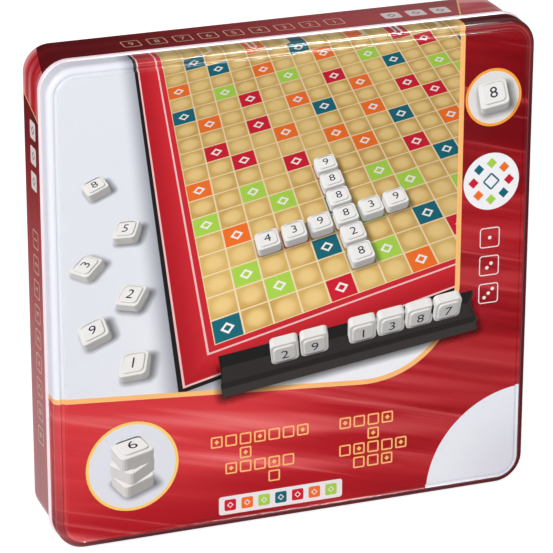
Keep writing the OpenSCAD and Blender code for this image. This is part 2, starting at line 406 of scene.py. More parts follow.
def orange_peel(paint, strength=0.06):
    """The varnish's slight unevenness, with the plate's own broad waves under it."""
    fine = paint.noise(scale=900)
    broad = paint.noise(scale=14, detail=1)
    paint.bump(fine * 0.03 + broad, 0.0006, strength)


def printed(paint, colour, gloss, low=0.95, high=1.03, **others):
    """Gives a varnished print its ink, with faint specks, and its gloss."""
    specks = paint.noise(scale=2600).ramp(0.2, 0.8, low, high)
    paint.feed(Base_Color=paint.tint(colour, specks), Coat_Weight=gloss, **others)
    orange_peel(paint)
    return paint.material


def lid_paint(view):
    """Ground of the lid's print: red field, pale window with a board seen through view, orange line; the pale ink
    brightens on the skirt as a painted highlight, and a dark rim, partly print and partly painted shade, runs
    round the right and lower edge.
    """
    paint = varnished("lid_print_ground")
    x, y, z = paint.place()
    low = y + x * WINDOW_SLANT
    past_x = (x - (WINDOW_RIGHT - WINDOW_ROUND)).most(0)
    past_y = ((WINDOW_LOW + WINDOW_ROUND) - low).most(0)
    out = distance(past_x, past_y) - WINDOW_ROUND
    from_glow = distance(x - 10, y + 30)
    # Painted highlight: the pale ink turns brighter and bluer on the skirt and shoulder, standing in for the light
    # the rolled edge catches.
    pale = paint.layers((0.84, 0.85, 0.88), (from_glow.ramp(30, 130), (0.75, 0.77, 0.82)),
                        (from_edge(x, y).ramp(0.5, 3.5, 1, 0), (0.88, 0.88, 0.97)))
    u, v, w = (x * row[0] + y * row[1] + row[2] for row in view.to_board)
    u, v = u / w, v / w
    board = paint.tint(board_cells(paint, u, v), (v + u).ramp(0, 16, 1.08, 0.8))
    inner = u.least(v)
    rim = paint.layers((0.45, 0.010, 0.018), (inner.ramp(-1.0, -0.2), (0.58, 0.02, 0.03)),
                       (abs(inner + 0.25) < 0.035, PALE_PINK))
    board = paint.layers(board, (inner < 0, rim), (inner < -1.1, PALE_PINK), (inner < -1.17, BLACK))
    shade = paint.mix(inner.ramp(-2.1, -1.2), pale, (0.34, 0.35, 0.40))
    field = paint.mix(inner > -1.32, shade, board)
    away = distance(x - TIN_W / 2, y + TIN_W / 2)
    pale_corner = paint.mix(away.ramp(10, PALE_CORNER_R), (0.68, 0.68, 0.74), COOL_WHITE)
    # Partly print, partly painted shade: the rolled rim turns dark red on the right, along the lower edge and at
    # the top right, the sides away from the light.
    dark_rim_and_shade = (from_edge(x, y) + y.ramp(60, 118, 0, 1.6)).ramp(3.15, 3.35, 1, 0) * (out > LINE_W / 2)
    colour = paint.layers(satin_red(paint, x, y), (out < 0, field), (abs(out) < LINE_W / 2, ORANGE),
                          (away < PALE_CORNER_R, pale_corner), (dark_rim_and_shade * (x - y * 0.6).ramp(-80, -30), RIM_INK_AND_SHADE))
    return printed(paint, colour, lid_gloss(x, y, z))


def wall_gloss(x, y, _):
    """The wall's varnish shines most at the tin's lower right, and is dull towards its upper left."""
    return ((-y).ramp(-90, 90, 0.04, 0.6) + x.ramp(-90, 100, 0, 0.27)).least(1)


def wall_paint():
    """Print of the base's side wall: deep red streaks that run round the tin, darkened towards the upper left by
    painted shade, and lighter satin streaks past the two upper corners, a painted highlight.
    """
    paint = varnished("wall_print")
    x, y, z = paint.place()
    streaks = paint.noise(x / 120 + 7, y / 120, z / 14, detail=3)
    fine = paint.noise(x / 60, y / 60 + 4, z / 3)
    light = streaks.ramp(0.35, 0.75) * 0.7 + fine.ramp(0.4, 0.8) * 0.3
    # Painted shade: the wall's ink darkens towards the upper left, where the walls turn away from the light.
    down = (x * 0.6 - y).ramp(-185, -100)
    colour = paint.mix(light, paint.mix(down, (0.12, 0.002, 0.005), (0.34, 0.009, 0.013)),
                       paint.mix(down, (0.21, 0.005, 0.010), (0.54, 0.020, 0.026)))
    # Painted highlight: pink satin streaks at the two upper corners of the wall stand in for the light those
    # corners catch; the orange line beside them is print.
    highlight_streaks = paint.noise(x / 90, y / 90 + 9, z / 7, detail=1).ramp(0.38, 0.66)
    satin = paint.mix(highlight_streaks, (0.52, 0.012, 0.020), (0.92, 0.34, 0.36))
    slope, upper = (z - 16) * 0.35, y > 0
    for along in (x + y + slope, x - y + slope):
        colour = paint.layers(colour, ((abs(along + 14) < 14) * upper, satin),
                              ((abs(along + 28) < 0.45) * upper, ORANGE))
    return printed(paint, colour, wall_gloss(x, y, z), 0.94, 1.04)


def inks_paint(name, gloss):
    """Printed shapes: each corner carries its own ink and how fully it covers."""
    paint = varnished(name)
    ink = paint.node("ShaderNodeVertexColor", {"layer_name": "ink"})
    return printed(paint, ink.outputs[0], gloss(*paint.place()), Alpha=ink.outputs[1])


GOLD_LACQUER = {"dark": (0.60, 0.56, 0.46), "light": (0.74, 0.71, 0.62), "metallic": 0.85, "roughness": 0.36}


def tinplate(name, dark, light, metallic, roughness, coat=0.3, grain_w=2):
    """Bare or lacquered tinplate with a faint rolled grain."""
    paint = Paint(name, Metallic=metallic, Coat_Weight=coat, Coat_Roughness=0.1)
    x, y, z = paint.place()
    grain = paint.noise(x / grain_w, y / (35 * grain_w), z / grain_w, detail=4)
    cloud = paint.noise(scale=22, detail=3)
    paint.feed(Base_Color=paint.mix(grain * 0.5 + cloud.ramp(0.3, 0.7) * 0.5, dark, light),
               Roughness=(grain * 0.4 + cloud * 0.6).ramp(0.3, 0.7, roughness * 0.93, roughness * 1.08))
    orange_peel(paint, 0.1)
    return paint.material


def moulded(name, dark, light, roughness, grain=700, coat=0.0):
    """Moulded plastic with a fine spark-eroded grain and faint flow marks."""
    paint = Paint(name, Coat_Weight=coat, IOR=1.5)
    flow = paint.noise(scale=35, detail=3)
    fine = paint.noise(scale=grain, detail=3)
    paint.feed(Base_Color=paint.mix(flow.ramp(0.3, 0.7), dark, light),
               Roughness=(flow * 0.4 + fine * 0.6).ramp(0.3, 0.7, roughness * 0.85, roughness * 1.2))
    paint.bump(fine, 0.00012, 0.35)
    return paint.material


def mat_paint():
    """Print on the mat's cloth face: red edge, pale lines and the board's cells, over a fine knit."""
    paint = Paint("mat_print", Roughness=0.85, Sheen_Weight=0.25)
    u, v, _ = paint.parts(paint.node("ShaderNodeUVMap", {"uv_map": "flat"}).outputs[0])
    field, border_line, hem = 175, 4, 207.5
    cell = 2 * field / 15
    far = abs(u).most(abs(v))
    colour = paint.layers(board_cells(paint, (u + field) / cell, (v + field) / cell),
                          (far > field, (0.48, 0.010, 0.018)), (abs(far - field - border_line) < 0.7, PALE_PINK),
                          (far > hem, (0.62, 0.25, 0.27)))
    knit = abs((u / 0.9).fraction() - 0.5) + abs((v / 0.9).fraction() - 0.5)
    fuzz = paint.noise(scale=500, detail=3)
    paint.feed(Base_Color=paint.tint(colour, knit.ramp(0, 1, 0.86, 1.0)),
               Roughness=fuzz.ramp(0.3, 0.7, 0.75, 0.95))
    paint.bump(knit + fuzz, 0.0003, 0.4)
    return paint.material


def rubber_paint():
    """The mat's foam back."""
    paint = Paint("mat_back", Roughness=0.8)
    cells = Value(paint, paint.node("ShaderNodeTexVoronoi", {"feature": "DISTANCE_TO_EDGE"},
                                    {"Vector": paint.object_place, "Scale": 900.0}).outputs[0])
    paint.feed(Base_Color=paint.mix(cells.ramp(0, 0.3), (0.016, 0.015, 0.016), (0.032, 0.030, 0.032)))
    paint.bump(cells, 0.0002, 0.5)
    return paint.material


def paper_paint():
    """Cut edges of the booklet's pages."""
    paint = Paint("page_edges", Roughness=0.8)
    x, y, z = paint.place()
    leaves = paint.noise(x / 60, y / 60, z * 9)
    paint.feed(Base_Color=paint.mix(leaves.ramp(0.35, 0.65), (0.55, 0.54, 0.52), (0.82, 0.81, 0.79)))
    paint.bump(leaves, 0.0002, 0.5)
    return paint.material


def cover_paint():
    """Booklet cover: red satin field, pale band and a row of the board's cells."""
    paint = Paint("booklet_cover", Specular_IOR_Level=0.25, Coat_Weight=0.1, Coat_Roughness=0.2)
    x, y, _ = paint.place()
    cell, band_y, band_half, cells_half = 20, 18, 44, 30
    strip = abs(y - band_y)
    band = paint.mix(strip.ramp(10, band_half), (0.86, 0.88, 0.92), (0.70, 0.74, 0.82))
    cells = board_cells(paint, x / cell + 0.5, (y - band_y) / cell + 0.5)
    colour = paint.layers(satin_red(paint, x * 1.3, y * 1.3), (strip < band_half, band),
                          (abs(strip - band_half) < 1.2, ORANGE), (strip < cells_half, cells))
    fibres = paint.noise(scale=300, detail=3)
    paint.feed(Base_Color=paint.tint(colour, fibres.ramp(0.2, 0.8, 0.96, 1.02)),
               Roughness=fibres.ramp(0.3, 0.7, 0.34, 0.46))
    paint.bump(fibres, 0.0001, 0.15)
    return paint.material


class Inks:
    """Printed shapes, each a flat polygon in a layer of its own height over the plate."""

    def __init__(self, place):
        self.place = place
        self.points = []
        self.faces = []
        self.inks = []

    def shape(self, outline, ink, layer=0):
        """ink is one ink for the whole outline or a list with one for each corner."""
        start = len(self.points)
        inks = ink if isinstance(ink, list) else [ink] * len(outline)
        inks = [i if len(i) == 4 else (*i, 1.0) for i in inks]
        area = sum(a[0] * b[1] - a[1] * b[0] for a, b in zip(outline, outline[1:] + outline[:1]))
        if area < 0:
            outline, inks = outline[::-1], inks[::-1]
        self.points += [self.place(p[0], p[1], layer) for p in outline]
        self.faces.append(tuple(range(start, len(self.points))))
        self.inks += inks

    def band(self, inner, outer, ink_in, ink_out, layer=0):
        """The strip between two outlines, with its ink easing from one to the other."""
        for i in range(len(inner)):
            j = (i + 1) % len(inner)
            self.shape([inner[i], inner[j], outer[j], outer[i]], [ink_in, ink_in, ink_out, ink_out], layer)

    def disc(self, at, r, ink, layer=0, rim=None, rim_w=0):
        self.shape(circle(*at, r), ink, layer)
        if rim:
            self.band(circle(*at, r - rim_w), circle(*at, r), rim, rim, layer + 1)

    def square(self, at, half, ink, layer=0, turn=0, line=0, half_y=None):
        """A small square with round corners, filled or, with a line's width, in outline."""
        least = min(half, half_y or half)

        def corners(inset):
            flat = ring(half - inset, max(least * 0.28 - inset, 0.1), 0, 3, half_y=(half_y or half) - inset)
            return placed([p[:2] for p in flat], at, turn)

        if line:
            self.band(corners(line), corners(0), ink, ink, layer)
        else:
            self.shape(corners(0), ink, layer)

    def diamond(self, at, half, ink, layer=0, line=0):
        inner, outer = (placed(((1, 0), (0, 1), (-1, 0), (0, -1)), at, scale=size) for size in (half - line, half))
        if line:
            self.band(inner, outer, ink, ink, layer)
        else:
            self.shape(outer, ink, layer)

    def number(self, text, at, height, ink, turn):
        for outline in glyph(text):
            self.shape(placed(outline, at, turn, height), ink)

    def piece(self, name, body, slot, material):
        mesh = bpy.data.meshes.new(name)
        mesh.from_pydata([tuple(p) for p in self.points], [], self.faces)
        mesh.materials.append(material)
        layer = mesh.color_attributes.new("ink", "FLOAT_COLOR", "POINT")
        for one, ink in zip(layer.data, self.inks):
            one.color = ink
        return settled(name, mesh, body)


glyphs = {}


def glyph(text):
    """Flat faces of a plain number, one unit high and centred."""
    if text not in glyphs:
        curve = bpy.data.curves.new("number", "FONT")
        curve.body = text
        curve.resolution_u = 3
        holder = bpy.data.objects.new("number", curve)
        mesh = bpy.data.meshes.new_from_object(holder)
        low = [min(v.co[i] for v in mesh.vertices) for i in (0, 1)]
        high = [max(v.co[i] for v in mesh.vertices) for i in (0, 1)]
        tall = high[1] - low[1]
        spots = [((v.co.x - (low[0] + high[0]) / 2) / tall, (v.co.y - (low[1] + high[1]) / 2) / tall)
                 for v in mesh.vertices]
        glyphs[text] = [[spots[i] for i in polygon.vertices] for polygon in mesh.polygons]
        bpy.data.objects.remove(holder)
        bpy.data.curves.remove(curve)
        bpy.data.meshes.remove(mesh)
    return glyphs[text]


PICTURE_LIGHT = Vector((-0.55, 0.05, 0.83)).normalized()


class Picture:
    """A view of small solids, drawn flat in the print. One unit of the solids is one cell of the board."""

    def __init__(self, turn, tilt, away, aim, cell, at):
        turn, tilt = math.radians(turn), math.radians(tilt)
        self.back = Vector((-math.sin(turn) * math.cos(tilt), -math.cos(turn) * math.cos(tilt), math.sin(tilt)))
        self.eye = Vector((*aim, 0)) + self.back * away
        across = Vector((math.cos(turn), -math.sin(turn), 0))
        sides = (across, self.back.cross(across))
        self.rows = [side * cell * away - self.back * middle for side, middle in zip(sides, at)]
        full = [[r.x, r.y, -r.dot(self.eye)] for r in (*self.rows, -self.back)]
        self.to_board = Matrix(full).inverted()

    def seen(self, point):
        away = Vector(point) - self.eye
        depth = -away.dot(self.back)
        return self.rows[0].dot(away) / depth, self.rows[1].dot(away) / depth

    def spot(self, x, y, turn):
        """Stands a frame on the board's plane, at a place given on the lid."""
        u, v, w = self.to_board @ Vector((x, y, 1))
        return Matrix.Translation((u / w, v / w, 0)) @ Matrix.Rotation(math.radians(turn), 4, "Z")

    def draw(self, inks, shape, place, ink, layer):
        """Draws the faces of a solid that face the eye, each shaded by how it faces the light."""
        points = [place @ Vector(p) for p in shape.points]
        seen = [self.seen(p) for p in points]
        for corners, _ in shape.faces:
            spots = [points[i] for i in corners]
            normal = sum(((a - spots[0]).cross(b - spots[0]) for a, b in zip(spots[1:], spots[2:])), Vector())
            if normal.length < 1e-9 or normal.dot(self.eye - spots[0]) <= 0:
                continue
            light = 0.42 + 0.66 * max(0, normal.normalized().dot(PICTURE_LIGHT))
            inks.shape([seen[i] for i in corners], tuple(min(1.0, c * light) for c in ink), layer)

    def cast(self, inks, place, half, half_y, spread, layer, dark=0.5):
        """Soft shadow round the foot of a block."""
        rings = (ring(half + g, half * 0.2 + g, 0, half_y=half_y + g) for g in (0, spread))
        inner, outer = ([self.seen(place @ Vector(p)) for p in one] for one in rings)
        inks.shape(inner, (0, 0, 0, dark), layer)
        inks.band(inner, outer, (0, 0, 0, dark), (0, 0, 0, 0), layer)

    def tile(self, inks, place, number, layer, size=0.86, shadow=True):
        if shadow:
            aside = place @ Matrix.Translation((0.12 * size, 0, 0))
            self.cast(inks, aside, size * 0.46, size * 0.46, size * 0.3, layer - 1)
        self.draw(inks, tile_shape(size, 3), place, CREAM, layer)
        for outline in glyph(number):
            spots = [(*spot, size / 2) for spot in placed(outline, (0, 0), scale=size * 0.42)]
            inks.shape([self.seen(place @ Vector(p)) for p in spots], SLATE, layer + 1)


def tile_shape(size=20, steps=4):
    """A tile with soft edges and its raised face. size is its width."""
    rings = ((9.6, 2.6, 0), (9.9, 2.9, 0.12), (10, 3, 0.4), (10, 3, 7.9), (9.88, 2.9, 8.3), (9.55, 2.7, 8.56),
             (8.35, 3, 8.62), (8.0, 3, 8.72), (7.82, 3, 9.0), (7.74, 3, 9.6), (7.55, 2.9, 9.88), (7.0, 2.6, 10.0))
    k = size / 20
    return Shape().loft([[(x * k, y * k, z * k) for x, y, z in ring(h, r, z, steps)] for h, r, z in rings])


RACK_BACK = [(7.2, 0), (RACK_W, 0), (RACK_W, RACK_H), (22.6, RACK_H), (20.2, 6), (7.2, 6)]
RACK_LIP = [(0, 0), (7.2, 0), (7.2, 9), (3.6, 9), (3.6, 3.6), (0, 3.6)]
LEAN_BACK, LEAN_UP = math.sin(math.radians(11)), math.cos(math.radians(11))
ON_RACK = Matrix(((0, LEAN_BACK, -LEAN_UP, 20.2 + 10 * LEAN_BACK), (-1, 0, 0, 0),
                  (0, LEAN_UP, LEAN_BACK, 6.1 + 10 * LEAN_UP), (0, 0, 0, 1)))
CELL_W = 23


def print_rack(inks, view, place, tiles, layer):
    """A rack in the picture, with tiles that lean on it, given as (place along it, number)."""
    place = place @ Matrix.Scale(1 / CELL_W, 4)
    half = Matrix.Translation((RACK_W / 2, RACK_L / 2, 0))
    view.cast(inks, place @ half, RACK_W / 2, RACK_L / 2, 7, layer, 0.6)
    view.draw(inks, Shape().prism(RACK_BACK, 0, RACK_L), place, (0.030, 0.026, 0.025), layer + 1)
    for y, number in tiles:
        view.tile(inks, place @ Matrix.Translation((0, y, 0)) @ ON_RACK, number, layer + 3, 20, shadow=False)
    view.draw(inks, Shape().prism(RACK_LIP, 0, RACK_L), place, (0.042, 0.036, 0.034), layer + 5)


def print_lid(view):
    """The lid's printed picture: a board with number tiles, a rack, insets, pips and small squares."""
    inks = Inks(lambda x, y, layer: stood_up(x, y, TIN_D - INK_ROOM + 0.006 + layer * 0.003))
    crossing = {(column, 3) for column in range(2, 8)} | {(5, row) for row in range(1, 7)}
    for column, row in crossing:
        place = Matrix.Translation((column + 0.5, row + 0.5, 0))
        view.tile(inks, place, str(chance.randint(1, 9)), 2 * (14 - column // 2 - row) + 2)
    for spot in ((-101, 62, 20), (-86, 38, -18), (-106, 22, 48), (-84, 4, -30), (-103, -12, 12), (-83, -32, -12)):
        view.tile(inks, view.spot(*spot), str(chance.randint(1, 9)), 6)
    print_rack(inks, view, view.spot(97, -37, 83),
               [(22 + 21.5 * i + (14 if i > 3 else 0), str(chance.randint(1, 9))) for i in range(6)], 2)

    # Round insets: a stack of tiles at the lower left, one tile in the strip on the right
    inset = (-86, -84)
    inks.disc(inset, 24, (0.72, 0.74, 0.80), 1, rim=(0.95, 0.62, 0.16), rim_w=1.5)
    near = Picture(turn=30, tilt=38, away=12, aim=(0, 0), cell=17, at=(inset[0], inset[1] - 10))
    for level, turn in enumerate((0, 14, -8)):
        near.tile(inks, Matrix.Translation((0, 0, 0.5 * level)) @ Matrix.Rotation(math.radians(turn), 4, "Z"),
                  str(4 + level), 3 + 2 * level, 1.0, shadow=level == 0)
    inset = (103, 86)
    inks.disc(inset, 15, (0.74, 0.72, 0.70), 1, rim=(0.95, 0.36, 0.05), rim_w=1.4)
    near = Picture(turn=10, tilt=62, away=12, aim=(0, 0), cell=15, at=(inset[0], inset[1] - 1))
    near.tile(inks, Matrix.Identity(4), "8", 4, 1.0)

    # White badge with a wreath of diamonds
    badge = (103, 42)
    inks.disc(badge, 15, (0.86, 0.86, 0.88), 1)
    for i in range(8):
        a = math.pi / 4 * i
        inks.diamond((badge[0] + 9.6 * math.cos(a), badge[1] + 9.6 * math.sin(a)), 2.8, BONUS_INKS[i % 4], 2)
    inks.square(badge, 3.4, BONUS_INKS[3], 2, turn=45, line=0.9)

    # Outlined squares with pips
    for i in range(3):
        at = (103, 12 - 15 * i)
        inks.square(at, 5.4, PIP_WHITE, 1, line=0.55)
        for k in range(i + 1):
            step = 2.2 * (k - i / 2)
            inks.disc((at[0] + step, at[1] + step), 0.95, PIP_WHITE, 1)

    # Orange outlined squares that cross, as on a board
    pitch = 7.6
    runs = ((0, 0, 7), (1, 2, 1), (2, 1, 5), (3, 4, 1), (0, 9, 4), (1, 11, 1), (2, 9, 5), (3, 10, 3))
    for row, start, count in runs:
        for column in range(start, start + count):
            at = (-42 + column * pitch, -78 - row * pitch)
            inks.square(at, 3.1, ORANGE, 1, line=0.8)
            if (column + row) % 3 == 0:
                inks.diamond(at, 1.3, ORANGE, 1)

    # Pale strip with a row of coloured squares
    strip = (-8, -113.5)
    inks.square(strip, 33, STRIP_WHITE, 1, half_y=5)
    for i in range(7):
        at = (strip[0] + (i - 3) * 9, strip[1])
        inks.square(at, 3.1, (BONUS_INKS * 2)[i], 2)
        inks.diamond(at, 1.7, STRIP_WHITE, 3, line=0.6)
    return inks


def print_walls():
    """A line of small numbered squares along each side wall, and three filled ones past its end."""
    pitch, mid_z, half = 13, 15.5, 4.6

    def place(side):
        c, s = ((1, 0), (0, 1), (-1, 0), (0, -1))[side]
        out = WALL_W / 2 + 0.03
        return lambda x, z, layer: stood_up((out + layer * 0.01) * c - x * s, (out + layer * 0.01) * s + x * c, z)

    inks = Inks(None)
    for side in range(4):
        inks.place = place(side)
        for i in range(9):
            at = (-30 + pitch * i, mid_z)
            inks.square(at, half, RUST_LINE, line=0.55)
            inks.number(str(i + 1), at, 4.2, RUST_LINE, turn=180 if side in (1, 2) else 0)
        for i in range(3):
            at = (-86 + pitch * i, mid_z)
            inks.square(at, half, (0.82, 0.74, 0.72))
            inks.diamond(at, 2.4, (0.30, 0.010, 0.016), 1, line=0.8)
    return inks


def edge_rings(section, width, radius):
    """Rings of the tin's round-cornered square, one for each (inset, depth) point of a section."""
    return [ring(width / 2 - inset, max(radius - inset, 0.6), z, 16, 10) for inset, z in section]


def lid_face(t):
    """Section of the lid's face from its skirt to the flat panel, or of its inside, t under it."""
    top = TIN_D - INK_ROOM
    shoulder_z = top - t - 0.4
    return ([*arc(2.6, top - 3.0, 2.6 - t, 180, 90, 9), (2.95, shoulder_z)]
            + arc(4.3, top + 0.2, 1.3 + t, 210, 346, 10)
            + [(5.75 + t / 2, top - t - 0.01)] + [(inset, top - t) for inset in (6.1 + t / 2, 9, 40, 100)])


def build_lid():
    low = TIN_D - LID_D + LID_EDGE_GAP
    outer = lid_face(0)[::-1] + [(0, low + 6), (0, low + 1.2), (0, low + 0.25)]
    hem = [(0.5 * PLATE_T, low), (1.4 * PLATE_T, low), (2 * PLATE_T, low + 0.3), (2 * PLATE_T, low + LID_HEM_H),
           (PLATE_T, low + LID_HEM_H + 0.3)]
    section = outer + hem + lid_face(PLATE_T)
    numbers = [0] * (len(outer) - 1) + [1] * (len(section) - len(outer))
    lid = Shape().loft(edge_rings(section, TIN_W, CORNER_R), numbers)
    view = Picture(turn=15, tilt=50, away=22, aim=(4.5, 3.0), cell=14, at=(14, 24))
    lid.piece("lid_shell", "lid", ["lid"], "printed_tinplate",
              [lid_paint(view), tinplate("lid_inside", **GOLD_LACQUER)])
    print_lid(view).piece("lid_print", "lid", "printed_tinplate", inks_paint("lid_inks", lid_gloss))


def build_base():
    """Base shell: back hem, rounded back edge, wall, rolled bead, neck and folded mouth."""
    reach = math.degrees(math.acos(BEAD_SINK / BEAD_R))
    bead = [(BEAD_SINK - x, z) for x, z in arc(0, BEAD_Z, BEAD_R, -reach, reach, 18)]
    hollow = [(BEAD_SINK - x, z) for x, z in arc(0, BEAD_Z, BEAD_R - PLATE_T, 68, -68, 10)]
    back = [(BACK_HEM_W, 0.0), (2.2, 0.0)] + [(1 - x, z) for x, z in arc(0, 1, 1, -90, 0, 6)]
    wall = [(0, 4), (0, BEAD_Z - 6), (0, BEAD_Z - BEAD_R - 0.35), (-0.06, BEAD_Z - BEAD_R - 0.1)]
    neck = [(0, BEAD_Z + BEAD_R + 0.2), (0, MOUTH_Z - 1), (0.05, MOUTH_Z - 0.2), (0.3, MOUTH_Z)]
    fold = [(0.75, MOUTH_Z), (1.0, MOUTH_Z - 0.3), (1.0, MOUTH_Z - 2.3), (0.5, MOUTH_Z - 2.6)]
    foot = [(0.5, 4), (0.6, 0.8), (1.0, 0.5), (BACK_HEM_W, 0.5)]
    inside = fold + [(0.5, BEAD_Z + 1.6)] + hollow + [(0.5, BEAD_Z - 1.6)] + foot
    section = back + wall + bead + neck + inside
    outside = len(back + wall)
    numbers = [0] * (outside + 1) + [1] * (len(bead) + len(neck) - 3) + [2] * (len(inside) + 2)
    base = Shape().loft(edge_rings(section, WALL_W, WALL_R), numbers, loop=True)
    base.piece("base_shell", "base", ["base_body"], "printed_tinplate",
               [wall_paint(), tinplate("rolled_rim", (0.94, 0.76, 0.83), (0.98, 0.84, 0.90), metallic=0.1,
                                       roughness=0.24, coat=0.5, grain_w=30),
                tinplate("base_inside", **GOLD_LACQUER)])
    print_walls().piece("wall_print", "base", "printed_tinplate", inks_paint("wall_inks", wall_gloss))


def build_back_panel():
    """Back panel behind the base's hem, with a field pressed out and a turned-up flange."""
    field, top = 14, 4.5
    outside = [(0, top), (0, 0.9), (0.4, 0.5), (3, 0.5), (field - 1.2, 0.5), (field - 0.7, 0.45),
               (field - 0.2, 0.2)] + [(inset, 0.1) for inset in (field + 0.4, field + 3, 40, 100)]
    inside = [(PLATE_T, top), (PLATE_T, 1.3), (0.8, 1.0), (3, 1.0)] + [(x, z + PLATE_T) for x, z in outside[4:]]
    panel = Shape().loft(edge_rings(outside[::-1] + inside, PANEL_W, WALL_R - 0.6))
    panel.piece("back_plate", "base", ["back_panel"], "bare_tinplate",
                [tinplate("back_tinplate", (0.54, 0.55, 0.58), (0.68, 0.69, 0.72), metallic=0.95, roughness=0.22)])


def build_tray():
    """Formed tray: a deck with rounded lips, two bays and a skirt to the back panel, one sheet with two sides."""
    half, radius = TRAY_W / 2, WALL_R - 2 * PLATE_T - 0.3
    under, floor_under = TRAY_TOP - TRAY_T, BAY_FLOOR - TRAY_T
    skirt = [(0.9, TRAY_TOP), (0.35, TRAY_TOP - 0.12), (0.08, TRAY_TOP - 0.5), (0, TRAY_TOP - 1.2), (0, 1.2),
             (TRAY_T, 1.2), (TRAY_T, under - 0.5), (1.1, under)]
    rings = [ring(half - g, radius - g, z, 10) for g, z in skirt]
    tray = Shape().loft(rings, caps=(False, False))
    decks = [[rings[0]], [rings[-1]]]
    lip = [(1.0, TRAY_TOP), (0.4, TRAY_TOP - 0.15), (0.08, TRAY_TOP - 0.6), (0, TRAY_TOP - 1.4),
           (0, BAY_FLOOR + 1.2), (-0.35, BAY_FLOOR + 0.35), (-1.2, BAY_FLOOR)]
    lip_under = [(1.3, under), (TRAY_T, under - 0.5), (TRAY_T, floor_under + 1.5), (0.25, floor_under + 0.4),
                 (-1.0, floor_under)]
    for x, w, l in (RACK_BAY, TILE_BAY):
        at = (x, BAY_TOP_Y - l / 2)
        for outlines, section in zip(decks, (lip, lip_under)):
            rings = [ring(w / 2 + g, BAY_R + g, z, 6, half_y=l / 2 + g, at=at) for g, z in section]
            outlines.append(rings[0])
            tray.loft(rings, caps=(False, True))
    for outlines in decks:
        tray.fill(outlines)
    return tray.piece("formed_tray", "base", ["tray"], "tray_plastic",
                      [moulded("tray_plastic", (0.018, 0.018, 0.020), (0.030, 0.030, 0.033), 0.36,
                               grain=500, coat=0.2)])


def build_tiles():
    """A column of ten tiles for each of the ten nodes, each tile with a plain number."""
    plastic = moulded("tile_plastic", (0.74, 0.71, 0.64), (0.82, 0.79, 0.72), 0.36)
    ink = Paint("tile_ink", Roughness=0.5)
    ink.feed(Base_Color=ink.mix(ink.noise(scale=1500), (0.012, 0.012, 0.022), (0.04, 0.04, 0.06)))
    shape = tile_shape()
    first_x = TILE_BAY[0] - TILE_BAY[1] / 2 + BAY_SLACK + TILE_W / 2
    for layer, layer_name in enumerate(("low", "top")):
        for column in range(5):
            tiles = Shape()
            for row in range(10):
                x = first_x + column * TILE_PITCH + chance.uniform(-SCATTER, SCATTER)
                y = BAY_TOP_Y - BAY_SLACK - TILE_W / 2 - row * TILE_PITCH + chance.uniform(-SCATTER, SCATTER)
                z = BAY_FLOOR + layer * TILE_T
                tiles.add(shape, (x, y, z), chance.uniform(-0.4, 0.4))
                large, small = str(chance.randint(1, 9)), str(chance.randint(1, 5))
                for text, at, height in ((large, (x - 0.6, y + 0.5), 8.2), (small, (x + 5.0, y - 4.6), 2.4)):
                    for outline in glyph(text):
                        base = len(tiles.points)
                        tiles.points += [(*spot, z + TILE_T + 0.012) for spot in placed(outline, at, scale=height)]
                        tiles.face(range(base, base + len(outline)), 1)
            node = f"tiles_{layer_name}_{column + 1}"
            tiles.piece("number_" + node, node, [node], "tile_plastic", [plastic, ink.material])


def build_racks():
    plastic = moulded("rack_plastic", (0.020, 0.018, 0.018), (0.034, 0.031, 0.030), 0.34, grain=600, coat=0.1)
    section = [(0, 0), (2.4, 0), (2.4, 2.4), (22.6, 2.4), (22.6, 0)] + RACK_BACK[1:] + RACK_LIP[2:]
    section = [p for i, p in enumerate(section) if p != section[i - 1]]
    first_x, top = RACK_BAY[0] - RACK_BAY[1] / 2 + BAY_SLACK, BAY_TOP_Y - BAY_R
    for i in range(4):
        rack = Shape().add(Shape().prism(section, top - RACK_L, top), (first_x + i * RACK_PITCH, 0, BAY_FLOOR))
        node = f"rack_{i + 1}"
        rack.piece("tile_" + node, node, [node], "rack_plastic", [plastic], bevel=0.35)


def fold_stations(bend_steps, flat_steps=8):
    """Places along cloth folded in half: (share of the flat part, share of the bend)."""
    flats = [i / flat_steps for i in range(flat_steps, 0, -1)]
    bend = [(0, -1 + 2 * i / bend_steps) for i in range(bend_steps + 1)]
    return [(-f, -1) for f in flats] + bend + [(f, 1) for f in flats[::-1]]


